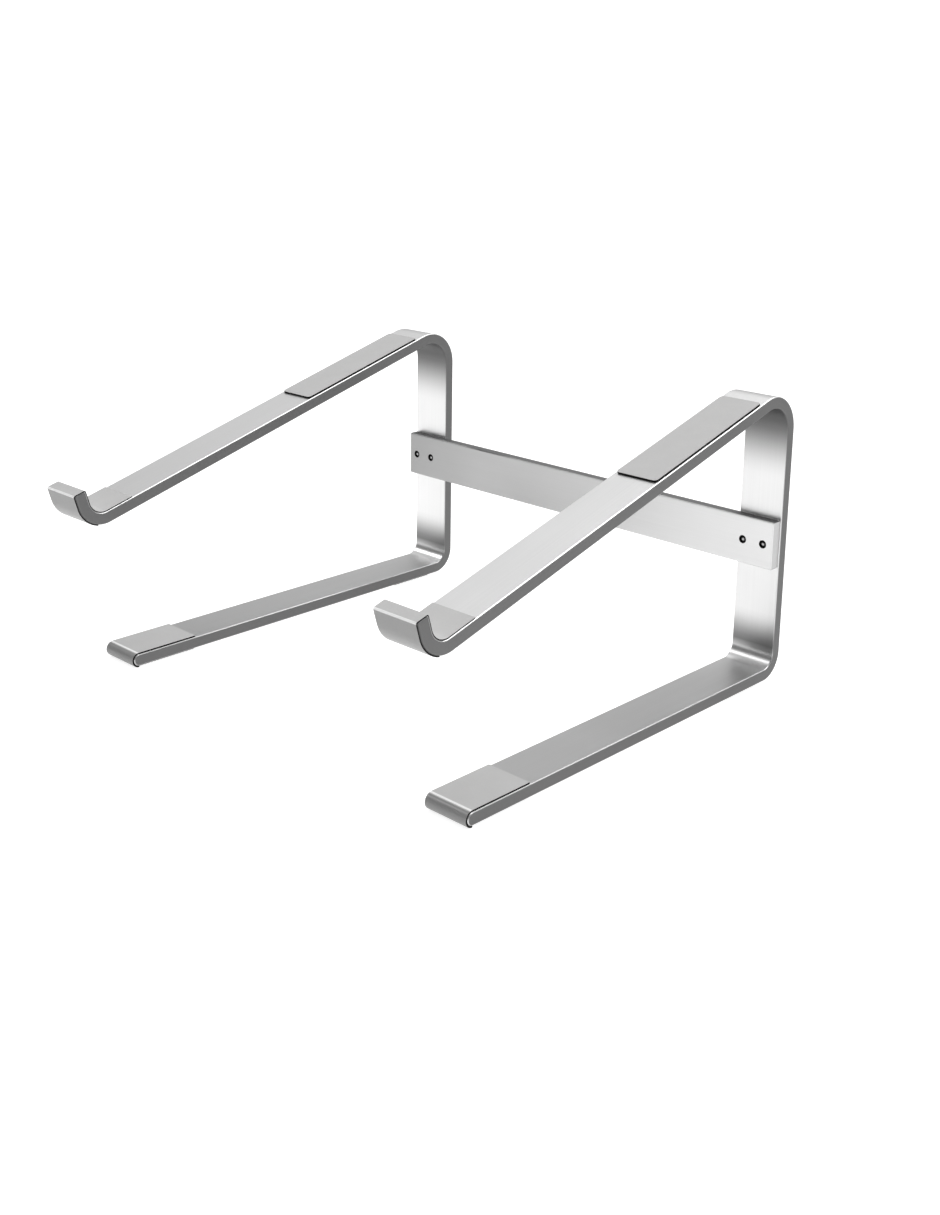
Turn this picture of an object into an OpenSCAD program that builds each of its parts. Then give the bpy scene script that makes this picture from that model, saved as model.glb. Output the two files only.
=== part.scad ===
// Open laptop stand: two side frames bent from flat aluminium bar, joined behind the legs' front
// faces by one flat cross bar with four countersunk screws, and lined with silicone where the
// laptop and the desk touch it.
// Millimetres, +X to the right, +Y to the back, +Z up. The origin is at the middle of the
// bounding box's underside, which is the desk.

/* [Bar stock] */
// Width of the flat bar
bar_w = 25; // [20:1:32]
// Thickness of the flat bar
bar_t = 6; // [5:0.5:7]
// Chamfer along the bar's four long edges
edge_c = 0.4; // [0.2:0.1:0.8]

/* [Side frames] */
// Outer width across both frames
stand_w = 263.5; // [220:0.5:300]
// Length of the foot, from its round front end to the back of the leg
foot_l = 230; // [200:1:260]
// Height of the frame, from the foot's underside to the crest of the top bend
frame_h = 149.4; // [130:0.2:180]
// Slope of the arm below the horizontal, in degrees
arm_angle = 16.129; // [10:0.001:20]
// Straight length of the arm, between the top bend and the hook bend
arm_l = 226.2; // [200:0.2:240]
// Straight length of the lip above the hook bend
lip_l = 7; // [4:0.5:15]
// Inner radius of the bend between foot and leg
foot_bend_r = 7; // [5:0.5:15]
// Inner radius of the bend between leg and arm
top_bend_r = 13; // [8:0.5:20]
// Inner radius of the hook that stops the laptop
hook_bend_r = 8; // [5:0.5:12]
// Radius of the two corners at the lip's tip
tip_r = 0.8; // [0.5:0.1:1.5]

/* [Cross bar] */
// Length of the cross bar
cross_l = 262; // [218:0.5:299]
// Height of the cross bar's middle above the foot's underside
cross_z = 71.6; // [40:0.1:100]

/* [Screws] */
// Distance between the two screws at each end
screw_gap = 12; // [10:0.5:14]
// Major diameter of the thread
thread_d = 4; // [3:0.5:5]
// Thread pitch
thread_p = 0.7; // [0.5:0.1:0.9]
// Diameter of the countersunk head
head_d = 8; // [7:0.1:9]
// Width across flats of the hexagon socket
socket_af = 2.5; // [2:0.5:3]
// Depth of the hexagon socket
socket_depth = 1.4; // [1:0.1:1.8]
// How far the head lies below the leg's back face
head_sink = 0.2; // [0:0.1:0.4]
// How far the tip lies below the cross bar's front face
tip_sink = 0.4; // [0.1:0.1:1]

/* [Silicone] */
// Thickness of the self-adhesive film behind every silicone part
film_t = 0.1; // [0.1:0.05:0.3]
// Thickness of the flat pads and of the foot sleeves
pad_t = 0.9; // [0.5:0.1:2]
// Thickness of the hook linings
lining_t = 0.5; // [0.4:0.1:1]
// Length of the upper pad along the arm
upper_pad_l = 85; // [40:1:120]
// Distance from the top bend to the upper pad
upper_pad_gap = 5.5; // [2:0.5:20]
// Bare metal left at each side of the upper pad
upper_pad_inset = 1; // [0.5:0.1:3]
// Bare metal left at each side of the linings and sleeves
sleeve_inset = 0.5; // [0.4:0.1:2]
// Length of the hook lining along the arm
lining_arm_l = 15.2; // [5:0.1:40]
// How far the lining follows the outside of the hook bend, in degrees
lining_turn = 62; // [20:1:90]
// Length of the foot sleeve along the foot, on top and underneath
sleeve_l = 38; // [20:1:60]
// Bare metal left at each side of the foot pads, under the foot
under_inset = 2; // [1:0.5:5]
// Length of the rear foot pad
rear_pad_l = 30; // [15:1:50]
// Distance from the foot bend to the rear foot pad
rear_pad_gap = 4; // [1:1:20]
// Radius of the pads' corners
pad_corner_r = 2; // [1:0.5:4]

/* [Hidden] */
$fn = 96;

metal = "#dcdcde";
screw_metal = "#8c8c90";
silicone = "#8f8f91";
film = "#e8e4d8";

half_t = bar_t / 2;
film_inset = 0.3;                       // the film is cut this much smaller all round
under_t = film_t + pad_t;               // the foot's underside stands this high above the desk
frame_x = (stand_w - bar_w) / 2;        // middle of each frame

// Bend centres in the frame's own plane: [y from the leg's back face, z from the foot's underside]
up = [-sin(arm_angle), cos(arm_angle)];         // out of the arm's upper face
down_arm = [-cos(arm_angle), -sin(arm_angle)];  // along the arm, towards the hook
top_centre = [-(top_bend_r + bar_t), frame_h - top_bend_r - bar_t];
arm_start = top_centre + (top_bend_r + half_t) * up;
hook_centre = arm_start + arm_l * down_arm + (half_t + hook_bend_r) * up;
lip_corner = hook_centre + (hook_bend_r + bar_t - tip_r) * down_arm + (lip_l - tip_r) * up;
front_y = lip_corner[0] - tip_r - film_t - lining_t;    // foremost point of the hook lining
mid_y = front_y / 2;
foot_straight = foot_l - half_t - foot_bend_r - bar_t;  // straight part of the foot
post_l = top_centre[1] - foot_bend_r - bar_t;           // straight part of the leg

countersink_d = head_d + 2 * head_sink;
clearance_d = thread_d + 0.5;
screw_l = 2 * bar_t - head_sink - tip_sink;
crest_r = thread_d / 2 - 0.02;          // the thread clears its hole by 0.02 all round
root_r = crest_r - 0.54 * thread_p;
mouth_c = 0.3;                          // chamfer at the mouth of each tapped hole
cut = 1;                                // how far a cutter runs past the face it opens

// ---------- placing ----------

// The frame's plane: x runs back, y runs up and z runs to the right, about the frame's middle
module in_frame(side) {
    translate([side * frame_x, -mid_y, under_t]) rotate([90, 0, 90]) children();
}

// Moves along x, and round a bend on centre-line radius `r`, from the start of a strip to its end
module ahead(l) { translate([l, 0]) children(); }
module turn_left(a, r) { translate([0, r]) rotate(a) translate([0, -r]) children(); }
module turn_right(a, r) { translate([0, -r]) rotate(-a) translate([0, r]) children(); }

// The middle of the foot's thickness, at the centre of its round end, with x along the foot
module at_foot_end() { translate([half_t - foot_l, half_t]) children(); }

// The middle of the arm's thickness, `s` down the arm from the top bend, with x down the arm
module on_arm(s) {
    at_foot_end() ahead(foot_straight) turn_left(90, foot_bend_r + half_t)
        ahead(post_l) turn_left(90 + arm_angle, top_bend_r + half_t)
            ahead(s) children();
}

// ---------- bending ----------

// Cross-section of a strip, `t` thick and `w` wide, with its corners cut off by `c`
module section(t, w, c) {
    polygon([
        [-t / 2 + c, -w / 2], [t / 2 - c, -w / 2], [t / 2, -w / 2 + c], [t / 2, w / 2 - c],
        [t / 2 - c, w / 2], [-t / 2 + c, w / 2], [-t / 2, w / 2 - c], [-t / 2, -w / 2 + c]
    ]);
}

// A straight stretch of strip along x; its children carry on from its end
module straight(l, t, w, c) {
    rotate([90, 0, 90]) linear_extrude(l) section(t, w, c);
    ahead(l) children();
}

// A bend to the left by `a` degrees, on centre-line radius `r`; its children carry on from its end
module bend_left(a, r, t, w, c) {
    translate([0, r]) rotate(-90) rotate_extrude(angle = a) translate([r, 0]) section(t, w, c);
    turn_left(a, r) children();
}

// The same to the right
module bend_right(a, r, t, w, c) {
    mirror([0, 1]) translate([0, r]) rotate(-90) rotate_extrude(angle = a)
        translate([r, 0]) section(t, w, c);
    turn_right(a, r) children();
}

module bar_straight(l) { straight(l, bar_t, bar_w, edge_c) children(); }
module bar_left(a, inner_r) { bend_left(a, inner_r + half_t, bar_t, bar_w, edge_c) children(); }
module bar_right(a, inner_r) { bend_right(a, inner_r + half_t, bar_t, bar_w, edge_c) children(); }

// Full-radius end of the foot
module bar_nose() {
    rotate(90) rotate_extrude(angle = 180) intersection() {
        section(bar_t, bar_w, edge_c);
        translate([0, -bar_w / 2]) square([half_t, bar_w]);
    }
}

// Last stretch of the lip, with its two corners rounded
module bar_tip(l) {
    intersection() {
        bar_straight(l);
        translate([0, 0, -bar_w / 2]) linear_extrude(bar_w) {
            translate([0, -half_t]) square([l - tip_r, bar_t]);
            translate([0, tip_r - half_t]) square([l, bar_t - 2 * tip_r]);
            for (y = [tip_r - half_t, half_t - tip_r]) translate([l - tip_r, y]) circle(tip_r);
        }
    }
}

// ---------- side frames and cross bar ----------

// The bent bar, followed from the foot's round end to the lip's tip
module bent_bar() {
    at_foot_end() {
        bar_nose();
        bar_straight(foot_straight)
            bar_left(90, foot_bend_r)
                bar_straight(post_l)
                    bar_left(90 + arm_angle, top_bend_r)
                        bar_straight(arm_l)
                            bar_right(90, hook_bend_r)
                                bar_tip(lip_l);
    }
}

// Puts its children at each of the frame's two screws, with z pointing forward from the leg's
// back face
module at_screws() {
    for (x = [-screw_gap / 2, screw_gap / 2])
        translate([0, cross_z, x]) rotate([0, -90, 0]) children();
}

module side_frame(side) {
    color(metal) in_frame(side) difference() {
        bent_bar();
        at_screws() {
            translate([0, 0, -cut]) cylinder(d = clearance_d, h = bar_t + 2 * cut);
            cylinder(d1 = countersink_d, d2 = 0, h = countersink_d / 2);
            translate([0, 0, -cut]) cylinder(d = countersink_d, h = cut);
        }
    }
}

module left_side_frame() { side_frame(-1); }
module right_side_frame() { side_frame(1); }

module cross_bar() {
    color(metal) difference() {
        translate([-cross_l / 2, -mid_y - 1.5 * bar_t, under_t + cross_z])
            straight(cross_l, bar_t, bar_w, edge_c);
        for (side = [-1, 1]) in_frame(side) at_screws() {
            translate([0, 0, bar_t - cut]) cylinder(d = thread_d, h = bar_t + 2 * cut);
            translate([0, 0, 2 * bar_t - mouth_c])
                cylinder(d1 = thread_d, d2 = thread_d + 4 * mouth_c, h = 2 * mouth_c);
        }
    }
}

// ---------- screws ----------

// Countersunk screw with a hexagon socket; its thread is drawn as rings. Its head's top is at
// z = 0 and its tip points along +z.
module screw() {
    head_h = (head_d - thread_d) / 2;
    first = head_h + thread_p;
    turns = floor((screw_l - first - thread_p) / thread_p);
    thread_end = first + turns * thread_p;
    rings = [for (i = [0:turns - 1], k = [0:3])
        [[root_r, crest_r, crest_r, root_r][k], first + (i + [0.1, 0.45, 0.55, 0.9][k]) * thread_p]];
    difference() {
        rotate_extrude() polygon(concat(
            [[0, 0], [head_d / 2, 0], [thread_d / 2, head_h], [crest_r, head_h], [crest_r, first]],
            rings,
            [[crest_r, thread_end], [crest_r, screw_l - thread_p], [root_r - 0.3, screw_l],
             [0, screw_l]]
        ));
        translate([0, 0, -cut])
            cylinder(d = socket_af / cos(30), h = socket_depth + cut, $fn = 6);
        translate([0, 0, -0.01])
            cylinder(d1 = socket_af / cos(30) + 0.5, d2 = socket_af - 0.5, h = 0.5);
    }
}

// `side` is the frame and `place` the screw in it: -1 is left and 1 is right
module placed_screw(side, place) {
    color(screw_metal) in_frame(side)
        translate([-head_sink, cross_z, place * screw_gap / 2]) rotate([0, -90, 0]) screw();
}

module left_outer_screw() { placed_screw(-1, -1); }
module left_inner_screw() { placed_screw(-1, 1); }
module right_inner_screw() { placed_screw(1, -1); }
module right_outer_screw() { placed_screw(1, 1); }

// ---------- flat pads ----------

// Rectangle with round corners, from x = 0 to x = l and about y = 0
module rounded_rectangle(l, w, r) {
    translate([r, -w / 2]) square([l - 2 * r, w]);
    translate([0, r - w / 2]) square([l, w - 2 * r]);
    for (x = [r, l - r], y = [r - w / 2, w / 2 - r]) translate([x, y]) circle(r);
}

// A flat pad or its film on the face at y = 0, growing towards -y
module flat_layer(l, w, t, trim) {
    translate([trim, 0, 0]) rotate([90, 0, 0]) linear_extrude(t)
        rounded_rectangle(l - 2 * trim, w - 2 * trim, pad_corner_r - trim);
}

module on_upper_pad(side) {
    in_frame(side) on_arm(upper_pad_gap) translate([0, -half_t, 0]) children();
}

module upper_pad(side) {
    color(silicone) on_upper_pad(side) translate([0, -film_t, 0])
        flat_layer(upper_pad_l, bar_w - 2 * upper_pad_inset, pad_t, 0);
}

module upper_pad_film(side) {
    color(film) on_upper_pad(side)
        flat_layer(upper_pad_l, bar_w - 2 * upper_pad_inset, film_t, film_inset);
}

module left_upper_pad() { upper_pad(-1); }
module right_upper_pad() { upper_pad(1); }
module left_upper_pad_film() { upper_pad_film(-1); }
module right_upper_pad_film() { upper_pad_film(1); }

module on_rear_pad(side) {
    in_frame(side) translate([-foot_bend_r - bar_t - rear_pad_gap - rear_pad_l, 0]) children();
}

module rear_foot_pad(side) {
    color(silicone) on_rear_pad(side) translate([0, -film_t, 0])
        flat_layer(rear_pad_l, bar_w - 2 * under_inset, pad_t, 0);
}

module rear_foot_pad_film(side) {
    color(film) on_rear_pad(side)
        flat_layer(rear_pad_l, bar_w - 2 * under_inset, film_t, film_inset);
}

module left_rear_foot_pad() { rear_foot_pad(-1); }
module right_rear_foot_pad() { rear_foot_pad(1); }
module left_rear_foot_pad_film() { rear_foot_pad_film(-1); }
module right_rear_foot_pad_film() { rear_foot_pad_film(1); }

// ---------- hook linings ----------

// One layer of the lining, `t` thick and `o` clear of the bar: down the arm, up the inside of the
// hook, over the lip's tip, down its front and round the outside of the bend
module hook_layer(o, t, trim) {
    w = bar_w - 2 * sleeve_inset - 2 * trim;
    q = o + t / 2;
    on_arm(arm_l - lining_arm_l + trim) translate([0, -half_t - q])
        straight(lining_arm_l - trim, t, w, 0)
            bend_right(90, hook_bend_r - q, t, w, 0)
                straight(lip_l - tip_r, t, w, 0)
                    bend_left(90, tip_r + q, t, w, 0)
                        straight(bar_t - 2 * tip_r, t, w, 0)
                            bend_left(90, tip_r + q, t, w, 0)
                                straight(lip_l - tip_r, t, w, 0)
                                    bend_left(lining_turn - trim / (hook_bend_r + bar_t) * 180 / PI,
                                        hook_bend_r + bar_t + q, t, w, 0);
}

module hook_lining(side) { color(silicone) in_frame(side) hook_layer(film_t, lining_t, 0); }
module hook_lining_film(side) { color(film) in_frame(side) hook_layer(0, film_t, film_inset); }

module left_hook_lining() { hook_lining(-1); }
module right_hook_lining() { hook_lining(1); }
module left_hook_lining_film() { hook_lining_film(-1); }
module right_hook_lining_film() { hook_lining_film(1); }

// ---------- foot sleeves ----------

// One layer of the sleeve round the front of the foot, with a narrower tongue underneath
module sleeve_layer(o, t, trim) {
    w = bar_w - 2 * sleeve_inset - 2 * trim;
    tongue_w = bar_w - 2 * under_inset - 2 * trim;
    flat_l = sleeve_l - half_t - trim;
    q = o + t / 2;
    translate([-foot_l + sleeve_l - trim, bar_t + q]) rotate(180)
        straight(flat_l, t, w, 0)
            bend_left(180, half_t + q, t, w, 0)
                straight(flat_l, t, tongue_w, 0);
}

module foot_sleeve(side) { color(silicone) in_frame(side) sleeve_layer(film_t, pad_t, 0); }
module foot_sleeve_film(side) { color(film) in_frame(side) sleeve_layer(0, film_t, film_inset); }

module left_foot_sleeve() { foot_sleeve(-1); }
module right_foot_sleeve() { foot_sleeve(1); }
module left_foot_sleeve_film() { foot_sleeve_film(-1); }
module right_foot_sleeve_film() { foot_sleeve_film(1); }

left_side_frame();
right_side_frame();
cross_bar();
left_outer_screw();
left_inner_screw();
right_inner_screw();
right_outer_screw();
left_upper_pad();
right_upper_pad();
left_upper_pad_film();
right_upper_pad_film();
left_hook_lining();
right_hook_lining();
left_hook_lining_film();
right_hook_lining_film();
left_foot_sleeve();
right_foot_sleeve();
left_foot_sleeve_film();
right_foot_sleeve_film();
left_rear_foot_pad();
right_rear_foot_pad();
left_rear_foot_pad_film();
right_rear_foot_pad_film();
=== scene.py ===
"""The looks of an open aluminium laptop stand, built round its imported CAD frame.

Every length is in metres, in the frame's own axes: +X right, +Y back, +Z up. Each bar and each
silicone strip is a rounded section swept along a route of straights and bends, and the screws are
turned. The swept meshes carry a UV map whose u runs along the strip, which the metal's grain
follows, and two masks that the materials read. The adhesive films keep their CAD meshes.
"""

import math

import bmesh
import bpy
from mathutils import Matrix, Vector


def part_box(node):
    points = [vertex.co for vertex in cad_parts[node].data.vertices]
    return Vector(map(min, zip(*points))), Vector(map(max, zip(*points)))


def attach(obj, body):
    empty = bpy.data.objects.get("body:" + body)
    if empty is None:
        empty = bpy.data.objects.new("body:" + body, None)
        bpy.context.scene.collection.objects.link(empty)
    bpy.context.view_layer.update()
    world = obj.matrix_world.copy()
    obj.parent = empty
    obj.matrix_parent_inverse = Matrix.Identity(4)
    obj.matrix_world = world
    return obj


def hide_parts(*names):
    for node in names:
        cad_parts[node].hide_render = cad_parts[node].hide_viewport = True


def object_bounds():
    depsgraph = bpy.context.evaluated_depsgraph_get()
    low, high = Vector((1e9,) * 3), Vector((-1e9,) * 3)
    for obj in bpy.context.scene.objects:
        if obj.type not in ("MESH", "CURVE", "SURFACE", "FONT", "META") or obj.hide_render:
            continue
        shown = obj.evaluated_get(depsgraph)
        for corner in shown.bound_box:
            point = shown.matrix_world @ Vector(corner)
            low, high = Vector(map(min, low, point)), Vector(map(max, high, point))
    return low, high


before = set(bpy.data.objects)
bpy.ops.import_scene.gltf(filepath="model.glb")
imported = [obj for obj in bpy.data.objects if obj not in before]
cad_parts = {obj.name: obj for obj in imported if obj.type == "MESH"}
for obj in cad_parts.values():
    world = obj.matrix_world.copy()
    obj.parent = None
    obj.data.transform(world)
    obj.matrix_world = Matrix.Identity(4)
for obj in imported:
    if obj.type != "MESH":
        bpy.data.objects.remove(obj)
cad_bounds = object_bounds()

# ---------- driving dimensions ----------

MM = 0.001
ARM_SLOPE = math.radians(16.129)
ARM_L = 226.2 * MM
LIP_L = 7 * MM
FOOT_BEND_R = 7 * MM
TOP_BEND_R = 13 * MM
HOOK_BEND_R = 8 * MM
TIP_R = 0.4 * MM
BAR_EDGE_R = 0.7 * MM

SCREW_GAP = 12 * MM
THREAD_R = 2 * MM
THREAD_PITCH = 0.7 * MM
THREAD_PLAY = 0.02 * MM
THREAD_DEPTH = 0.54 * THREAD_PITCH
CLEARANCE_R = THREAD_R + 0.25 * MM
TAP_MOUTH = 0.15 * MM
HEAD_R = 4 * MM
HEAD_RIM = 0.12 * MM
HEAD_SINK = 0.2 * MM
TIP_SINK = 0.4 * MM
TIP_FLAT_R = 0.7 * MM
SOCKET_AF = 2.5 * MM
SOCKET_DEPTH = 1.4 * MM

FILM_T = 0.1 * MM
PAD_T = 0.9 * MM
LINING_T = 0.5 * MM
SLEEVE_L = 38 * MM
LINING_ARM_L = 15.2 * MM
LINING_TURN = math.radians(62)
PAD_CORNER_R = 2 * MM
UPPER_PAD_GAP = 5.5 * MM
PAD_EDGE_R = 0.15 * MM
LINING_EDGE_R = 0.08 * MM

CORNER_STEPS = 4
NOSE_STEPS = 24
BEND_STEP = math.radians(3)
LATHE_STEPS = 48
WELD_GAP = 1e-7
SMOOTH_BELOW = math.radians(35)

# ---------- tones and lights ----------

# How much painted shade darkens the metal, from 0 to 1: on the legs' back, on the foot, just
# above the foot bend, and at the cross bar's left, right and ends.
BACK_PAINTED_SHADE = 0.17
FOOT_PAINTED_SHADE = 0.16
LOW_BEND_PAINTED_SHADE = 0.86
CROSS_LEFT_PAINTED_SHADE = 0.62
CROSS_RIGHT_PAINTED_SHADE = 0.10
CROSS_END_PAINTED_SHADE = 0.44
# By this share the foot's painted shade is darker at its nose than at its bend.
FOOT_NOSE_MORE = 1.6
# Painted shade down the hook's lip and round the foot's nose; painted light on the foot's top.
LIP_PAINTED_SHADE = 0.57
NOSE_PAINTED_SHADE = 0.61
SLEEVE_TOP_PAINTED_LIGHT = 0.10

# Between these two values lies most of what a noise texture gives.
NOISE_LOW = 0.3
NOISE_HIGH = 0.7

# Each light: its name, the direction it comes from, its width in degrees and its strength.
SOFT_LIGHTS = (
    ("overhead light", (0.35, 0.25, 0.90), 115, 0.5),
    ("rim light", (0.15, 0.42, 0.89), 57, 2.2),
    ("edge light", (-0.64, -0.36, 0.67), 9, 0.5),
)
SKY_BRIGHT_SIDE = (-0.50, 0.45, 0.74)
# The dome's tone by how far a direction leans to its bright side, from 0 to 1.
SKY_TONES = ((0.45, 0.16), (0.67, 0.25), (0.83, 0.30), (0.94, 0.70))
SKY_FIRST_TONE = 0.06
SKY_LAST_TONE = 0.62
SKY_STRENGTH = 1.15
BACKDROP_STRENGTH = 1.2
FLOOR_R = 12.0

CAMERA_PLACE = (0.5132, -0.4985, 0.2994)
CAMERA_TURN = (42.72, 14.07, 1.10)
CAMERA_LENS = 44.11
CAMERA_SHIFT = (-0.0247, -0.1312)

# ---------- places, read from the frame ----------

frame_lo, frame_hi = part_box("right_side_frame")
cross_lo, cross_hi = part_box("cross_bar")
sleeve_lo, sleeve_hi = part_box("right_foot_sleeve")
rear_lo, rear_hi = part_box("right_rear_foot_pad")
lining_lo, lining_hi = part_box("right_hook_lining")

BAR_W = frame_hi.x - frame_lo.x
BAR_T = cross_hi.y - cross_lo.y
HALF_T = BAR_T / 2
LEG_BACK = frame_hi.y
UNDERSIDE = frame_lo.z
FOOT_FRONT = sleeve_lo.y + FILM_T + PAD_T
FRAME_X = (frame_lo.x + frame_hi.x) / 2
CROSS_Z = (cross_lo.z + cross_hi.z) / 2
SLEEVE_W = sleeve_hi.x - sleeve_lo.x
LINING_W = lining_hi.x - lining_lo.x
PAD_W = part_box("right_upper_pad")[1].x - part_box("right_upper_pad")[0].x
UNDER_W = rear_hi.x - rear_lo.x
UPPER_PAD_L = 85 * MM
LEG_L = frame_hi.z - UNDERSIDE - TOP_BEND_R - BAR_T - FOOT_BEND_R - BAR_T
SIDES = {"left": -1, "right": 1}


# ---------- routes ----------

class Route:
    """A line in the frame's Y-Z plane, walked by straights and bends.

    Each station is (y, z, heading, run): its place, its direction of travel from +Y towards +Z,
    and the length walked so far.
    """

    def __init__(self, y, z, heading=0.0):
        self.stations = [(y, z, heading, 0.0)]

    def straight(self, length, steps=1):
        y, z, heading, run = self.stations[-1]
        for i in range(1, steps + 1):
            far = length * i / steps
            self.stations.append((y + far * math.cos(heading), z + far * math.sin(heading),
                                  heading, run + far))
        return self

    def bend(self, angle, radius):
        """Turns left by `angle`, or right where it is negative, on centre-line `radius`."""
        y, z, heading, run = self.stations[-1]
        turn = math.copysign(1, angle)
        centre_y = y - turn * radius * math.sin(heading)
        centre_z = z + turn * radius * math.cos(heading)
        steps = max(2, math.ceil(abs(angle) / BEND_STEP))
        for i in range(1, steps + 1):
            h = heading + angle * i / steps
            self.stations.append((centre_y + turn * radius * math.sin(h),
                                  centre_z - turn * radius * math.cos(h),
                                  h, run + radius * abs(angle) * i / steps))
        return self

    def place(self):
        """Place and heading at the end of the walk so far."""
        return self.stations[-1][:3]


def frame_route(arm_l=ARM_L):
    """The middle of the bent bar, from its round foot end to the far end of the arm."""
    route = Route(FOOT_FRONT + HALF_T, UNDERSIDE + HALF_T)
    route.straight(LEG_BACK - FOOT_BEND_R - BAR_T - FOOT_FRONT - HALF_T, steps=8)
    route.bend(math.pi / 2, FOOT_BEND_R + HALF_T)
    route.straight(LEG_L, steps=40)
    route.bend(math.pi / 2 + ARM_SLOPE, TOP_BEND_R + HALF_T)
    route.straight(arm_l)
    return route


# ---------- meshes ----------

class Shell:
    """Collects a mesh with a UV map along the strip, a mask of its narrow faces, and a mask of
    painted light: painted shade above 0 and painted highlight below 0."""

    def __init__(self):
        self.points = []
        self.masks = {"narrow": [], "painted_light": []}
        self.faces = []
        self.uvs = []

    def add(self, point, narrow=0.0, painted_light=0.0):
        self.points.append(point)
        self.masks["narrow"].append(narrow)
        self.masks["painted_light"].append(painted_light)
        return len(self.points) - 1

    def face(self, corners, uvs):
        self.faces.append(corners)
        self.uvs.append(uvs)

    def grid(self, rows, us, vs, closed):
        """Quads between rows of points; `closed` joins each row's end to its start."""
        width = len(rows[0])
        for j in range(len(rows) - 1):
            for i in range(width if closed else width - 1):
                k = (i + 1) % width
                self.face((rows[j][i], rows[j][k], rows[j + 1][k], rows[j + 1][i]),
                          ((us[j], vs[i]), (us[j], vs[i + 1]),
                           (us[j + 1], vs[i + 1]), (us[j + 1], vs[i])))

    def cap(self, row, flats):
        """One face over a ring; `flats` are its points' places in their own plane."""
        self.face(tuple(row), tuple(flats))

    def build(self, name):
        mesh = bpy.data.meshes.new(name)
        mesh.from_pydata(self.points, [], self.faces)
        layer = mesh.uv_layers.new(name="Along")
        layer.data.foreach_set("uv", [c for uvs in self.uvs for uv in uvs for c in uv])
        for mask, values in self.masks.items():
            mesh.attributes.new(mask, "FLOAT", "POINT").data.foreach_set("value", values)
        obj = bpy.data.objects.new(name, mesh)
        bpy.context.scene.collection.objects.link(obj)
        return obj


def weld(obj):
    """Welds the mesh and turns its normals outward."""
    bm = bmesh.new()
    bm.from_mesh(obj.data)
    bmesh.ops.remove_doubles(bm, verts=bm.verts, dist=WELD_GAP)
    bmesh.ops.dissolve_degenerate(bm, edges=bm.edges, dist=WELD_GAP)
    bmesh.ops.recalc_face_normals(bm, faces=bm.faces)
    bm.to_mesh(obj.data)
    bm.free()


def shade(obj):
    """Smooth over the roundings, crisp at the corners and flat on the flats."""
    obj.data.shade_smooth()
    obj.data.set_sharp_from_angle(angle=SMOOTH_BELOW)
    weighted = obj.modifiers.new("flat faces stay flat", "WEIGHTED_NORMAL")
    weighted.keep_sharp = True
    weighted.weight = 90


def section(width, thickness, corner):
    """A rounded rectangle as (across, out, narrow), starting and ending on its upper face."""
    points = []
    for quarter in range(4):
        across = (1, -1, -1, 1)[quarter]
        out = (1, 1, -1, -1)[quarter]
        for i in range(CORNER_STEPS + 1):
            share = i / CORNER_STEPS
            up = 1 - share if quarter in (1, 3) else share
            angle = up * math.pi / 2
            points.append((across * (width / 2 - corner + corner * math.cos(angle)),
                           out * (thickness / 2 - corner + corner * math.sin(angle)),
                           1 - up))
    return points


def girth(ring):
    """Distances round a section, from its first point back to it."""
    lengths = [0.0]
    for i, (across, out, _) in enumerate(ring):
        following = ring[(i + 1) % len(ring)]
        lengths.append(lengths[-1] + math.hypot(following[0] - across, following[1] - out))
    return lengths


def rounded_ends(stations, start_r, end_r):
    """Adds to each station how far its section shrinks, to round the strip's two ends."""
    def moved(station, distance, shrink):
        y, z, heading, run = station
        return (y + distance * math.cos(heading), z + distance * math.sin(heading),
                heading, run + distance, shrink)

    angles = [i * math.pi / 2 / CORNER_STEPS for i in range(CORNER_STEPS + 1)]
    whole = [station + (0.0,) for station in stations]
    if start_r:
        whole[0:1] = [moved(stations[0], start_r * (1 - math.cos(a)), start_r * (1 - math.sin(a)))
                      for a in angles]
    if end_r:
        whole[-1:] = [moved(stations[-1], -end_r * (1 - math.cos(a)), end_r * (1 - math.sin(a)))
                      for a in reversed(angles)]
    return whole


def no_painted_light(run, out):
    """No painted shade or highlight, the same all along."""
    return 0.0


def sweep(shell, x, stations, width, thickness, corner, start_r=0.0, end_r=0.0,
          caps=(True, True), painted_light_at=no_painted_light):
    """Sweeps a rounded section along the stations, about the plane at `x`.

    `width` is a number, or a function of the run, and the mask function gives the painted shade
    and highlight from the run and the place through the thickness. Returns the first and last
    rings.
    """
    whole = rounded_ends(stations, start_r, end_r)
    width_at = width if callable(width) else (lambda run: width)
    rows = []
    for y, z, heading, run, shrink in whole:
        ring = section(width_at(run) - 2 * shrink, thickness - 2 * shrink,
                       max(corner - shrink, corner / 4))
        rows.append([shell.add((x + across, y - out * math.sin(heading),
                                z + out * math.cos(heading)), narrow, painted_light_at(run, out))
                     for across, out, narrow in ring])
    full = section(width_at(whole[0][3]), thickness, corner)
    shell.grid(rows, [station[3] for station in whole], girth(full), closed=True)
    for at, row in ((0, rows[0]), (1, rows[-1])):
        if caps[at]:
            shell.cap(row, [(out + whole[-at][3], across) for across, out, _ in full])
    return rows[0], rows[-1]


def round_nose(shell, x, station, ring_ids, width, thickness, corner):
    """Closes the start of a bar with a full-radius end."""
    y, z, heading, _ = station
    half = 2 * (CORNER_STEPS + 1)
    top = section(width, thickness, corner)[:half]
    rows = [ring_ids[:half]]
    for j in range(1, NOSE_STEPS):
        angle = heading + math.pi / 2 + math.pi * j / NOSE_STEPS
        rows.append([shell.add((x + across, y + out * math.cos(angle),
                                z + out * math.sin(angle)), narrow)
                     for across, out, narrow in top])
    rows.append(list(reversed(ring_ids[half:])))
    us = [-thickness / 2 * math.pi * j / NOSE_STEPS for j in range(NOSE_STEPS + 1)]
    shell.grid(rows, us, girth(section(width, thickness, corner)), closed=False)
    for i in (0, half - 1):
        side = [row[i] for row in rows]
        shell.cap(side, [(shell.points[p][1], shell.points[p][2]) for p in side])


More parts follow.
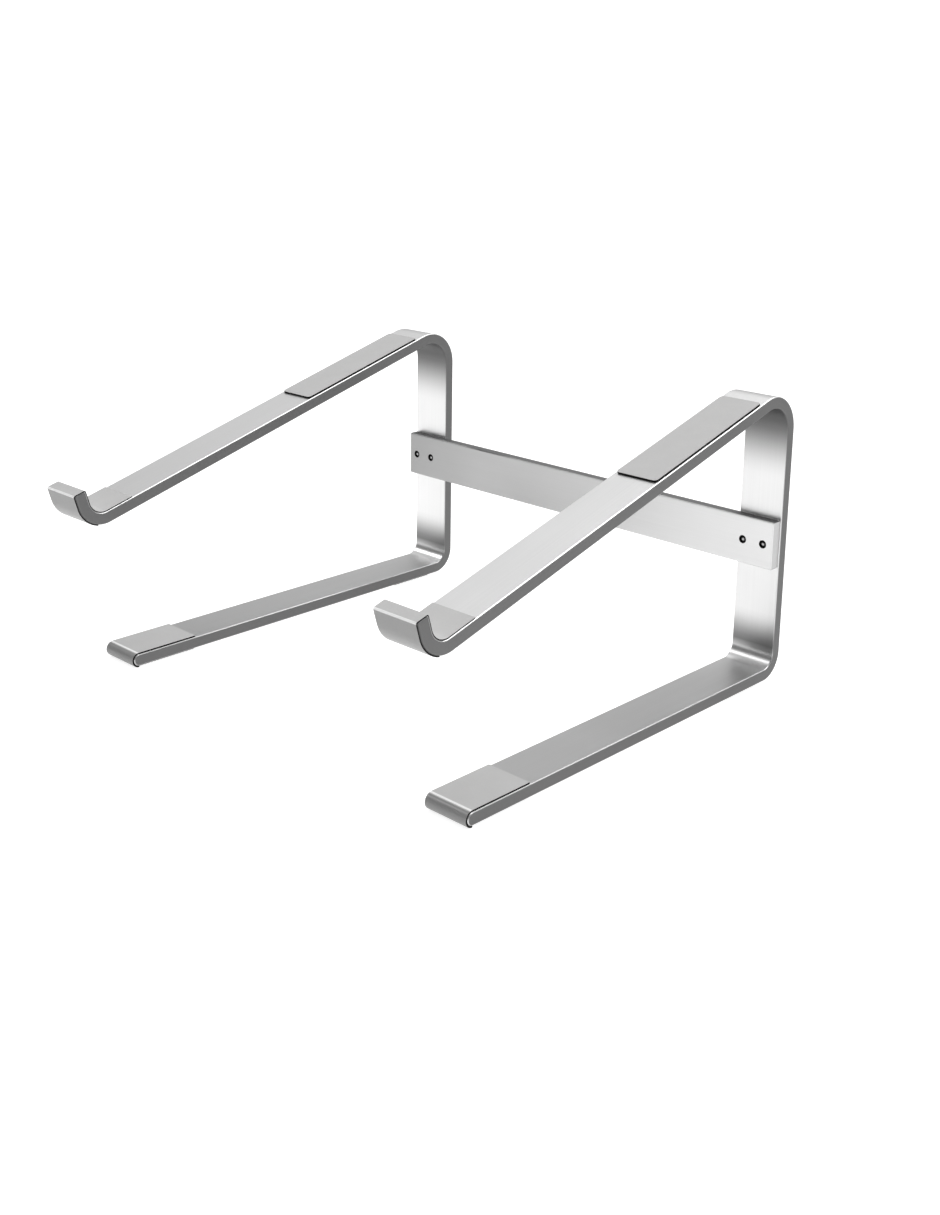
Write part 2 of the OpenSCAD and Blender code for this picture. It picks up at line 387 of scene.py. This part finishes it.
def turned(shell, rings, *ends):
    """Turns rings about +Z, each (radius at an angle, height), and caps the rings at `ends`."""
    angles = [2 * math.pi * i / LATHE_STEPS for i in range(LATHE_STEPS)]
    rows = [[shell.add((radius_at(angle) * math.cos(angle), radius_at(angle) * math.sin(angle),
                        height))
             for angle in angles]
            for radius_at, height in rings]
    around = [i / LATHE_STEPS for i in range(LATHE_STEPS + 1)]
    shell.grid(rows, [height for _, height in rings], around, closed=True)
    for end in ends:
        shell.cap(rows[end], [shell.points[p][:2] for p in rows[end]])


def laid_back(x, y, z):
    """Lays what was turned about +Z along -Y, starting at (x, y, z)."""
    return Matrix.Translation((x, y, z)) @ Matrix.Rotation(math.pi / 2, 4, "X")


def circle(radius):
    return lambda angle: radius


def hexagon(across_flats):
    """A regular hexagon's radius at an angle, with a corner at angle 0."""
    def radius_at(angle):
        return across_flats / 2 / math.cos((angle % (math.pi / 3)) - math.pi / 6)
    return radius_at


def drill(obj, profile, centres, painted_shade_there=0.0):
    """Cuts a profile of (radius, depth) into `obj` from the legs' back, at each (x, z).

    The walls get the second material. The cut leaves the masks wrong at the new corners, so they
    are written again there.
    """
    for x, z in centres:
        shell = Shell()
        turned(shell, [(circle(radius), depth) for radius, depth in profile], 0, -1)
        cutter = shell.build("cutter")
        weld(cutter)
        cutter.matrix_world = laid_back(x, LEG_BACK, z)
        cut = obj.modifiers.new("hole", "BOOLEAN")
        cut.operation = "DIFFERENCE"
        cut.solver = "EXACT"
        cut.object = cutter
        bpy.context.view_layer.update()
        cut_mesh = bpy.data.meshes.new_from_object(
            obj.evaluated_get(bpy.context.evaluated_depsgraph_get()))
        obj.modifiers.clear()
        obj.data = cut_mesh
        bpy.data.objects.remove(cutter)
    reach = 1.01 * max(radius for radius, _ in profile)

    def at_hole(point):
        return any(math.hypot(point.x - x, point.z - z) < reach for x, z in centres)

    for face in obj.data.polygons:
        face.material_index = 1 if abs(face.normal.y) < 0.99 and at_hole(face.center) else 0
    masks = obj.data.attributes
    # Round each hole the narrow mask is cleared and the painted shade is set again.
    for vertex, narrow, painted_light in zip(obj.data.vertices, masks["narrow"].data, masks["painted_light"].data):
        if at_hole(vertex.co):
            narrow.value = 0.0
            painted_light.value = painted_shade_there


# ---------- materials ----------

class Material:
    """A node material round one Principled shader, with short ways to wire its textures."""

    def __init__(self, name):
        self.material = bpy.data.materials.new(name)
        self.material.use_nodes = True
        self.nodes = self.material.node_tree.nodes
        self.links = self.material.node_tree.links
        self.shader = next(n for n in self.nodes if n.type == "BSDF_PRINCIPLED")

    def set(self, **sockets):
        """Sets sockets of the shader that are the same all over."""
        for name, value in sockets.items():
            self.shader.inputs[name.replace("_", " ")].default_value = value

    def link(self, output, socket):
        """Links an output to a socket of the shader."""
        self.links.new(output, self.shader.inputs[socket])

    def feed(self, socket, value):
        """Links a node's output to a socket, or sets the socket to a plain value."""
        if isinstance(value, bpy.types.NodeSocket):
            self.links.new(value, socket)
        else:
            socket.default_value = value

    def node(self, kind, **inputs):
        """Adds a node and feeds its named inputs."""
        node = self.nodes.new(kind)
        for name, value in inputs.items():
            self.feed(node.inputs[name.replace("_", " ")], value)
        return node

    def object_place(self):
        return self.node("ShaderNodeTexCoord").outputs["Object"]

    def along(self, scale):
        """The strip's own coordinates, scaled: along it, then round it."""
        uv = self.node("ShaderNodeUVMap")
        uv.uv_map = "Along"
        mapping = self.node("ShaderNodeMapping", Vector=uv.outputs["UV"], Scale=scale)
        return mapping.outputs["Vector"]

    def mask(self, name):
        node = self.nodes.new("ShaderNodeAttribute")
        node.attribute_name = name
        return node.outputs["Fac"]

    def noise(self, vector, scale, detail=3.0, roughness=0.5):
        return self.node("ShaderNodeTexNoise", Vector=vector, Scale=scale, Detail=detail,
                         Roughness=roughness).outputs["Fac"]

    def span(self, value, low, high, start=0.0, end=1.0):
        """Maps `value` from start..end to low..high."""
        return self.node("ShaderNodeMapRange", Value=value, From_Min=start, From_Max=end,
                         To_Min=low, To_Max=high).outputs["Result"]

    def rough(self, noise, low, high):
        """Spreads the roughness from `low` to `high` by a noise."""
        self.link(self.span(noise, low, high, NOISE_LOW, NOISE_HIGH), "Roughness")

    def blend(self, factor, first, second):
        """Mixes two colours; a Mix node keeps its colours at inputs 6 and 7 and output 2."""
        mix = self.nodes.new("ShaderNodeMix")
        mix.data_type = "RGBA"
        self.feed(mix.inputs[0], factor)
        self.feed(mix.inputs[6], first)
        self.feed(mix.inputs[7], second)
        return mix.outputs[2]

    def bump(self, height, strength, distance, normal=None):
        node = self.node("ShaderNodeBump", Height=height, Strength=strength, Distance=distance)
        if normal is not None:
            self.links.new(normal, node.inputs["Normal"])
        return node.outputs["Normal"]

    def combine(self, operation, first, second):
        node = self.nodes.new("ShaderNodeMath")
        node.operation = operation
        self.feed(node.inputs[0], first)
        self.feed(node.inputs[1], second)
        return node.outputs[0]


def grey(level, warmth=0.0):
    """An opaque grey, with its red raised and its blue lowered by the share `warmth`."""
    return (level * (1 + warmth), level, level * (1 - warmth), 1.0)


def anodised_aluminium():
    """Satin silver anodising: grain along the bar, narrow faces duller and darkened as painted
    shade, and painted shade by the painted light mask."""
    made = Material("anodised aluminium")
    narrow = made.span(made.mask("narrow"), 0.0, 1.0, 0.35, 0.9)
    grain = made.noise(made.along((60.0, 9000.0, 1.0)), 1.0, 2.0)
    streaks = made.noise(made.along((9.0, 900.0, 1.0)), 1.0, 4.0, 0.6)
    blast = made.noise(made.object_place(), 5200.0, 2.0)
    clouds = made.noise(made.object_place(), 30.0, 3.0)
    streaked = made.span(streaks, 0.0, 1.0, NOISE_LOW, NOISE_HIGH)
    wide = made.blend(streaked, grey(0.745), grey(0.775))
    # Painted shade: the mask darkens the silver towards a dark grey.
    metal_with_painted_shade = made.blend(made.mask("painted_light"), wide, grey(0.11))
    # Painted shade: narrow faces get a dark grey in place of the silver.
    edge = made.blend(clouds, grey(0.165), grey(0.190))
    made.link(made.blend(narrow, metal_with_painted_shade, edge), "Base Color")
    worn = made.combine("MULTIPLY", grain, clouds)
    polish = made.combine("ADD", made.span(worn, 0.34, 0.41, 0.1, 0.5),
                          made.span(made.mask("painted_light"), 0.0, 0.08))
    dull = made.span(blast, 0.52, 0.62, NOISE_LOW, NOISE_HIGH)
    made.link(made.span(narrow, polish, dull), "Roughness")
    lines = made.bump(grain, 0.06, 0.008 * MM)
    made.link(made.bump(blast, 0.08, 0.006 * MM, lines), "Normal")
    made.set(Metallic=1.0)
    return made.material


def machined_bore():
    """A hole's wall, near-black as painted shade in the recess, with fine turning rings."""
    made = Material("machined bore")
    place = made.object_place()
    rings = made.node("ShaderNodeMapping", Vector=place, Scale=(200.0, 9000.0, 200.0))
    turning = made.noise(rings.outputs["Vector"], 1.0, 2.0)
    made.link(made.blend(turning, grey(0.022), grey(0.05)), "Base Color")
    made.rough(turning, 0.45, 0.65)
    made.link(made.bump(turning, 0.3, 0.02 * MM), "Normal")
    made.set(Metallic=1.0)
    return made.material


def screw_steel(name, dark, light):
    """Screw steel between two tones, with faint turning marks and a little tarnish."""
    made = Material(name)
    place = made.object_place()
    tarnish = made.noise(place, 900.0, 4.0)
    marks = made.noise(place, 6000.0, 2.0)
    tarnished = made.span(tarnish, 0.0, 1.0, 0.35, 0.65)
    made.link(made.blend(tarnished, grey(dark), grey(light)), "Base Color")
    made.rough(marks, 0.28, 0.42)
    made.link(made.bump(marks, 0.15, 0.01 * MM), "Normal")
    made.set(Metallic=1.0)
    return made.material


def grey_silicone():
    """Matt grey silicone skin. The painted light mask darkens it above 0 as painted shade, and
    pales it below 0 as a painted highlight."""
    made = Material("grey silicone")
    place = made.object_place()
    mottle = made.noise(place, 120.0, 5.0, 0.6)
    skin = made.noise(place, 3800.0, 3.0, 0.6)
    dust = made.noise(place, 1500.0, 2.0)
    dusty = made.span(made.combine("MULTIPLY", mottle, dust), 0.0, 1.0, 0.12, 0.40)
    face = made.blend(dusty, grey(0.465, 0.004), grey(0.495, 0.004))
    painted_light = made.mask("painted_light")
    # Painted shade where the mask is above 0, painted highlight where it is below 0.
    silicone_with_painted_shade = made.blend(made.span(painted_light, 0.0, 1.0), face, grey(0.10))
    silicone_with_painted_highlight = made.blend(made.span(painted_light, 0.0, 1.0, 0.0, -1.0), silicone_with_painted_shade, grey(0.95))
    made.link(silicone_with_painted_highlight, "Base Color")
    made.rough(skin, 0.42, 0.54)
    swells = made.bump(mottle, 0.10, 0.05 * MM)
    made.link(made.bump(skin, 0.25, 0.02 * MM, swells), "Normal")
    made.set(Sheen_Weight=0.05, Sheen_Roughness=0.5, Coat_Weight=0.15, Coat_Roughness=0.2)
    return made.material


def silicone_shade_core():
    """Near-black cut edges: painted shade standing for the silicone's shaded side walls."""
    made = Material("silicone shade core")
    specks = made.noise(made.object_place(), 1500.0, 2.0)
    made.link(made.blend(specks, grey(0.005), grey(0.012)), "Base Color")
    made.rough(specks, 0.60, 0.75)
    made.link(made.bump(specks, 0.2, 0.02 * MM), "Normal")
    made.set(Specular_IOR_Level=0.12)
    return made.material


def adhesive_film():
    """Thin adhesive with small bubbles, near-black as painted shade along the silicone's seams."""
    made = Material("adhesive film")
    place = made.object_place()
    bubbles = made.noise(place, 2400.0, 2.0)
    made.link(made.blend(bubbles, grey(0.010), grey(0.022)), "Base Color")
    made.rough(bubbles, 0.45, 0.65)
    made.link(made.bump(bubbles, 0.2, 0.01 * MM), "Normal")
    made.set(Specular_IOR_Level=0.2)
    return made.material


def pale_floor():
    """A plain pale floor, lit a little from below like a light table, so its shadows are faint."""
    made = Material("pale floor")
    tone = made.noise(made.object_place(), 3.0, 2.0)
    made.link(made.blend(tone, grey(0.55), grey(0.57)), "Base Color")
    made.set(Roughness=0.9, Specular_IOR_Level=0.1, Emission_Color=grey(1.0),
             Emission_Strength=0.78)
    return made.material


ALUMINIUM = anodised_aluminium()
SHADE_DARK_BORE = machined_bore()
BLACK_STEEL = screw_steel("blackened screw steel", 0.035, 0.06)
BRIGHT_STEEL = screw_steel("cut screw steel", 0.34, 0.44)
SILICONE = grey_silicone()
SHADE_CORE = silicone_shade_core()
SHADE_DARK_FILM = adhesive_film()


def install(obj, slot, *materials):
    """Gives a finished piece its materials and its place in the frame; it replaces its CAD node."""
    for material in materials:
        obj.data.materials.append(material)
    shade(obj)
    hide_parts(obj.name.removesuffix("_looks"))
    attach(obj, "root")


# ---------- metal ----------

def screw_places(side):
    """The (x, z) of one side's two screws, from left to right."""
    return [(side * FRAME_X + place * SCREW_GAP / 2, CROSS_Z) for place in (-1, 1)]


def smooth(value, start, end):
    """0 before `start`, 1 after `end` and an easy curve between; `start` may be the larger."""
    t = min(max((value - start) / (end - start), 0.0), 1.0)
    return t * t * (3 - 2 * t)


def bend_painted_shade(leg_start, leg_end):
    """Painted shade on the foot, on the leg's front just above the foot bend and from below the
    top bend on, and a little on the foot's underside and the leg's back."""
    def painted_light_at(run, out):
        if out <= 0:
            return BACK_PAINTED_SHADE * smooth(run, leg_end + 12 * MM, leg_end)
        on_foot = smooth(run, leg_start - 12 * MM, leg_start - 16 * MM)
        foot = on_foot * (1.0 + FOOT_NOSE_MORE * (1 - run / leg_start))
        past_bend = smooth(run, leg_start - 4 * MM, leg_start + 3 * MM)
        low = past_bend * smooth(run, leg_start + 21 * MM, leg_start + 2 * MM)
        high = smooth(run, leg_end - 26 * MM, leg_end + 7 * MM)
        return max(FOOT_PAINTED_SHADE * foot, LOW_BEND_PAINTED_SHADE * low, high)
    return painted_light_at


def make_side_frame(name, side):
    """One bar, bent to a foot, a leg, an arm and a hook, with two countersunk screw holes."""
    shell = Shell()
    route = frame_route().bend(-math.pi / 2, HOOK_BEND_R + HALF_T).straight(LIP_L)
    foot_run = LEG_BACK - FOOT_BEND_R - BAR_T - FOOT_FRONT - HALF_T
    leg_run = foot_run + math.pi / 2 * (FOOT_BEND_R + HALF_T)
    first, _ = sweep(shell, side * FRAME_X, route.stations, BAR_W, BAR_T, BAR_EDGE_R,
                     end_r=TIP_R, caps=(False, True),
                     painted_light_at=bend_painted_shade(leg_run, leg_run + LEG_L))
    round_nose(shell, side * FRAME_X, route.stations[0], first, BAR_W, BAR_T, BAR_EDGE_R)
    bar = shell.build(name + "_looks")
    weld(bar)
    sink_r = HEAD_R + HEAD_SINK
    drill(bar, [(sink_r, -1 * MM), (sink_r, 0), (CLEARANCE_R, sink_r - CLEARANCE_R),
                (CLEARANCE_R, BAR_T + 1 * MM)], screw_places(side), BACK_PAINTED_SHADE)
    install(bar, "anodised_aluminium", ALUMINIUM, SHADE_DARK_BORE)


def make_cross_bar():
    """A straight bar with four tapped holes, swept along Y and then turned to lie along X."""
    shell = Shell()
    length = cross_hi.x - cross_lo.x
    route = Route(-length / 2, 0.0).straight(length)
    end_r = BAR_EDGE_R * 0.75
    sweep(shell, 0.0, route.stations, cross_hi.z - cross_lo.z, BAR_T, BAR_EDGE_R, end_r, end_r)
    bar = shell.build("cross_bar_looks")
    across_to_z = Matrix(((0, 1, 0, 0), (0, 0, -1, 0), (-1, 0, 0, 0), (0, 0, 0, 1)))
    middle = (cross_lo + cross_hi) / 2
    bar.data.transform(Matrix.Translation(middle) @ across_to_z)
    weld(bar)
    places = [place for side in SIDES.values() for place in screw_places(side)]
    drill(bar, [(THREAD_R, BAR_T - 1 * MM), (THREAD_R, 2 * BAR_T - TAP_MOUTH),
                (THREAD_R + 2 * TAP_MOUTH, 2 * BAR_T + TAP_MOUTH)], places)
    # Painted shade: darker towards the left end, and on the two end faces.
    masks = bar.data.attributes
    for vertex, painted_light, narrow in zip(bar.data.vertices, masks["painted_light"].data, masks["narrow"].data):
        from_left = vertex.co.x - cross_lo.x
        painted_light.value = CROSS_LEFT_PAINTED_SHADE + (CROSS_RIGHT_PAINTED_SHADE - CROSS_LEFT_PAINTED_SHADE) * from_left / length
        if min(from_left, length - from_left) < 0.01 * MM:
            painted_light.value = CROSS_END_PAINTED_SHADE
            narrow.value = 0.0
    install(bar, "anodised_aluminium", ALUMINIUM, SHADE_DARK_BORE)


def thread(shell, start, end, root_r, crest_r):
    """A helical thread from height `start` to `end`, held to its root at both ends.

    Its profile over one pitch is (radius, share of the pitch).
    """
    profile = [(root_r, 0.0), (root_r, 0.1), (crest_r, 0.45), (crest_r, 0.55), (root_r, 0.9),
               (root_r, 1.0)]
    turns = math.ceil((end - start) / THREAD_PITCH)
    rows = []
    for i in range(-LATHE_STEPS, (turns + 1) * LATHE_STEPS + 1):
        angle = 2 * math.pi * i / LATHE_STEPS
        row = []
        for profile_r, share in profile:
            height = start + (i / LATHE_STEPS + share) * THREAD_PITCH
            radius = profile_r if start < height < end else root_r
            row.append(shell.add((radius * math.cos(angle), radius * math.sin(angle),
                                  min(max(height, start), end))))
        rows.append(row)
    shell.grid(rows, [2 * math.pi * root_r * i / LATHE_STEPS for i in range(len(rows))],
               [share * THREAD_PITCH for _, share in profile], closed=False)


def make_screw(name, x):
    """A countersunk screw with a hexagon socket. It is turned about +Z, head first, and then laid
    along -Y from just under the leg's back face. Its tip's end face is bright."""
    head_h = HEAD_R - THREAD_R
    length = 2 * BAR_T - HEAD_SINK - TIP_SINK
    crest_r = THREAD_R - THREAD_PLAY
    root_r = crest_r - THREAD_DEPTH
    shank_end = head_h + THREAD_PITCH
    thread_end = length - 0.5 * MM
    wall = hexagon(SOCKET_AF)
    socket = [(circle(0.02 * MM), SOCKET_DEPTH + 0.35 * MM), (wall, SOCKET_DEPTH),
              (wall, 0.25 * MM), (circle(SOCKET_AF / 2 + 0.4 * MM), 0.0)]
    head = [(circle(HEAD_R - HEAD_RIM), 0.0), (circle(HEAD_R), HEAD_RIM),
            (circle(THREAD_R), head_h + HEAD_RIM / 2)]
    shank = [(circle(crest_r), head_h + HEAD_RIM), (circle(crest_r), shank_end - 0.2 * MM),
             (circle(root_r), shank_end)]
    tip = [(circle(root_r), thread_end), (circle(TIP_FLAT_R), length),
           (circle(TIP_FLAT_R / 2), length + 0.04 * MM)]
    shell = Shell()
    turned(shell, socket + head + shank, 0)
    turned(shell, tip, -1)
    thread(shell, shank_end, thread_end, root_r, crest_r)
    screw = shell.build(name + "_looks")
    screw.data.transform(laid_back(x, LEG_BACK - HEAD_SINK, CROSS_Z))
    weld(screw)
    tip_y = LEG_BACK - HEAD_SINK - length
    for face in screw.data.polygons:
        face.material_index = 1 if face.center.y < tip_y + 0.05 * MM else 0
    install(screw, "screw_steel", BLACK_STEEL, BRIGHT_STEEL)


# ---------- silicone ----------

def install_silicone(obj, ends):
    """Paints the cut edges, and a strip's ends if `ends`, near-black as shade; installs the piece.
    """
    narrow = obj.data.attributes["narrow"].data
    for face in obj.data.polygons:
        is_edge = min(narrow[i].value for i in face.vertices) > 0.5
        is_end = ends and len(face.vertices) > 4
        face.material_index = 1 if is_edge or is_end else 0
    install(obj, "silicone", SILICONE, SHADE_CORE)


def make_hook_lining(name, side):
    """A thin strip down the end of the arm, round inside the hook, over the lip and down it."""
    clear = FILM_T + LINING_T / 2
    y, z, heading = frame_route(ARM_L - LINING_ARM_L).place()
    side_step = HALF_T + clear
    route = Route(y + side_step * math.sin(heading), z - side_step * math.cos(heading), heading)
    route.straight(LINING_ARM_L).bend(-math.pi / 2, HOOK_BEND_R - clear).straight(LIP_L - TIP_R)
    route.bend(math.pi / 2, TIP_R + clear).straight(BAR_T - 2 * TIP_R)
    corner_start = route.stations[-1][3]
    route.bend(math.pi / 2, TIP_R + clear)
    corner_end = route.stations[-1][3]
    route.straight(LIP_L - TIP_R).bend(LINING_TURN, HOOK_BEND_R + BAR_T + clear)

    def tone(run, out):
        """A painted highlight round the lip's outer corner, and painted shade from there down."""
        share = (run - corner_start) / (corner_end - corner_start)
        painted_highlight = smooth(share, 0.05, 0.25) * smooth(share, 0.95, 0.75)
        return -painted_highlight if painted_highlight > 0 else LIP_PAINTED_SHADE * smooth(share, 0.94, 1.0)

    shell = Shell()
    sweep(shell, side * FRAME_X, route.stations, LINING_W, LINING_T, LINING_EDGE_R,
          LINING_EDGE_R, LINING_EDGE_R, painted_light_at=tone)
    lining = shell.build(name + "_looks")
    weld(lining)
    install_silicone(lining, ends=True)


def make_foot_sleeve(name, side):
    """A strip over the front of the foot, round its nose and back underneath as a tongue."""
    clear = FILM_T + PAD_T / 2
    flat = SLEEVE_L - HALF_T
    route = Route(FOOT_FRONT + SLEEVE_L, UNDERSIDE + BAR_T + clear, math.pi)
    route.straight(flat).bend(math.pi, HALF_T + clear)
    tongue_start = route.stations[-1][3]
    narrowing = 0.001 * MM
    route.straight(narrowing).straight(flat - narrowing)

    def width_at(run):
        return SLEEVE_W if run <= tongue_start else UNDER_W

    def tone(run, out):
        """Painted light on top, painted highlight at the nose's start, painted shade past it."""
        past = run - flat
        painted_highlight = smooth(past, 0.0, 0.3 * MM) * smooth(past, 1.4 * MM, 0.9 * MM)
        top = -SLEEVE_TOP_PAINTED_LIGHT * smooth(past, 0.1 * MM, -0.1 * MM)
        nose_shade = NOSE_PAINTED_SHADE * smooth(past, 1.3 * MM, 1.8 * MM)
        return min(top, -painted_highlight) if painted_highlight > 0 else top + nose_shade

    shell = Shell()
    sweep(shell, side * FRAME_X, route.stations, width_at, PAD_T, PAD_EDGE_R, PAD_EDGE_R,
          PAD_EDGE_R, painted_light_at=tone)
    sleeve = shell.build(name + "_looks")
    weld(sleeve)
    install_silicone(sleeve, ends=True)


def pad_outline(length, width, inset):
    """A rectangle with rounded corners, shrunk by `inset`, as (along, across)."""
    corner = PAD_CORNER_R - inset
    steps = 8
    points = []
    for quarter in range(4):
        along = (length - PAD_CORNER_R, PAD_CORNER_R, PAD_CORNER_R, length - PAD_CORNER_R)[quarter]
        across = (1, 1, -1, -1)[quarter] * (width / 2 - PAD_CORNER_R)
        for i in range(steps + 1):
            angle = (quarter + i / steps) * math.pi / 2
            points.append((along + corner * math.cos(angle), across + corner * math.sin(angle)))
    return points


def make_pad(name, x, y, z, heading, length, width):
    """A flat pad with a rounded rim. It starts at (y, z), on the side to the right of `heading`."""
    shell = Shell()
    levels = [(0.0, 0.0), (0.0, PAD_T - PAD_EDGE_R)]
    for i in range(1, CORNER_STEPS + 1):
        angle = i * math.pi / 2 / CORNER_STEPS
        levels.append((PAD_EDGE_R * (1 - math.cos(angle)),
                       PAD_T - PAD_EDGE_R + PAD_EDGE_R * math.sin(angle)))
    rows = []
    for inset, height in levels:
        rise = FILM_T + height
        cut_edge = 1 - inset / PAD_EDGE_R
        rows.append([shell.add((x + across,
                                y + along * math.cos(heading) + rise * math.sin(heading),
                                z + along * math.sin(heading) - rise * math.cos(heading)), cut_edge)
                     for along, across in pad_outline(length, width, inset)])
    around = [i / len(rows[0]) for i in range(len(rows[0]) + 1)]
    shell.grid(rows, [inset + height for inset, height in levels], around, closed=True)
    for row, (inset, _) in ((rows[0], levels[0]), (rows[-1], levels[-1])):
        shell.cap(row, pad_outline(length, width, inset))
    pad = shell.build(name + "_looks")
    weld(pad)
    install_silicone(pad, ends=False)


def make_upper_pad(name, side):
    """The long pad on top of the arm, near its upper end."""
    y, z, heading = frame_route(UPPER_PAD_GAP).place()
    make_pad(name, side * FRAME_X, y + HALF_T * math.sin(heading), z - HALF_T * math.cos(heading),
             heading, UPPER_PAD_L, PAD_W)


def make_rear_foot_pad(name, side):
    """The short pad under the back of the foot."""
    make_pad(name, side * FRAME_X, rear_lo.y, UNDERSIDE, 0.0, rear_hi.y - rear_lo.y, UNDER_W)


# ---------- the studio ----------

def make_floor():
    """A round pale floor at the height of the pads' undersides."""
    bm = bmesh.new()
    bmesh.ops.create_circle(bm, cap_ends=True, segments=96, radius=FLOOR_R)
    mesh = bpy.data.meshes.new("floor")
    bm.to_mesh(mesh)
    bm.free()
    floor = bpy.data.objects.new("floor", mesh)
    floor.location.z = cad_bounds[0][2]
    floor.data.materials.append(pale_floor())
    bpy.context.scene.collection.objects.link(floor)


def make_soft_light(name, toward, spread, strength):
    """A far light in the direction `toward`, `spread` degrees wide and the same all over."""
    light = bpy.data.lights.new(name, "SUN")
    light.energy = strength
    light.angle = math.radians(spread)
    obj = bpy.data.objects.new(name, light)
    obj.rotation_euler = (-Vector(toward)).to_track_quat("-Z", "Y").to_euler()
    bpy.context.scene.collection.objects.link(obj)


def make_studio_sky():
    """A soft dome, brightest up at the back left, and white where the camera sees it."""
    world = bpy.data.worlds.new("studio")
    world.use_nodes = True
    bpy.context.scene.world = world
    nodes = world.node_tree.nodes
    links = world.node_tree.links
    nodes.clear()
    place = nodes.new("ShaderNodeTexCoord")
    toward = nodes.new("ShaderNodeVectorMath")
    toward.operation = "DOT_PRODUCT"
    toward.inputs[1].default_value = Vector(SKY_BRIGHT_SIDE).normalized()
    links.new(place.outputs["Generated"], toward.inputs[0])
    ramp = nodes.new("ShaderNodeValToRGB")
    links.new(toward.outputs["Value"], ramp.inputs[0])
    elements = ramp.color_ramp.elements
    elements[0].color = grey(SKY_FIRST_TONE)
    elements[1].color = grey(SKY_LAST_TONE)
    for position, level in SKY_TONES:
        elements.new(position).color = grey(level)
    dome = nodes.new("ShaderNodeBackground")
    links.new(ramp.outputs["Color"], dome.inputs["Color"])
    dome.inputs["Strength"].default_value = SKY_STRENGTH
    white = nodes.new("ShaderNodeBackground")
    white.inputs["Color"].default_value = grey(1.0)
    white.inputs["Strength"].default_value = BACKDROP_STRENGTH
    path = nodes.new("ShaderNodeLightPath")
    mix = nodes.new("ShaderNodeMixShader")
    links.new(path.outputs["Is Camera Ray"], mix.inputs[0])
    links.new(dome.outputs[0], mix.inputs[1])
    links.new(white.outputs[0], mix.inputs[2])
    output = nodes.new("ShaderNodeOutputWorld")
    links.new(mix.outputs[0], output.inputs["Surface"])


def make_camera():
    """Looks down from the front right, by CAMERA_TURN's azimuth, elevation and roll in degrees."""
    azimuth, elevation, roll = (math.radians(a) for a in CAMERA_TURN)
    ahead = Vector((-math.sin(azimuth) * math.cos(elevation),
                    math.cos(azimuth) * math.cos(elevation), -math.sin(elevation)))
    level = Vector((math.cos(azimuth), math.sin(azimuth), 0.0))
    right = level * math.cos(roll) + level.cross(ahead) * math.sin(roll)
    up = right.cross(ahead)
    data = bpy.data.cameras.new("camera")
    data.sensor_width = 36.0
    data.lens = CAMERA_LENS
    data.shift_x, data.shift_y = CAMERA_SHIFT
    data.clip_start = 0.01
    camera = bpy.data.objects.new("camera", data)
    axes = Matrix((right, up, -ahead)).transposed().to_4x4()
    camera.matrix_world = Matrix.Translation(CAMERA_PLACE) @ axes
    bpy.context.scene.collection.objects.link(camera)
    bpy.context.scene.camera = camera


# ---------- build ----------

make_camera()
make_studio_sky()
for soft_light in SOFT_LIGHTS:
    make_soft_light(*soft_light)
make_floor()

make_cross_bar()
for label, sign in SIDES.items():
    make_side_frame(f"{label}_side_frame", sign)
    make_upper_pad(f"{label}_upper_pad", sign)
    make_hook_lining(f"{label}_hook_lining", sign)
    make_foot_sleeve(f"{label}_foot_sleeve", sign)
    make_rear_foot_pad(f"{label}_rear_foot_pad", sign)
    for (screw_x, _), outer_first in zip(screw_places(sign), (sign < 0, sign > 0)):
        make_screw(f"{label}_{'outer' if outer_first else 'inner'}_screw", screw_x)

# The films get the near-black film material, which paints shade along the silicone's seams.
for node_name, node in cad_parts.items():
    if node_name.endswith("_film"):
        node.data.materials.clear()
        node.data.materials.append(SHADE_DARK_FILM)

bpy.context.scene.view_settings.view_transform = "Standard"
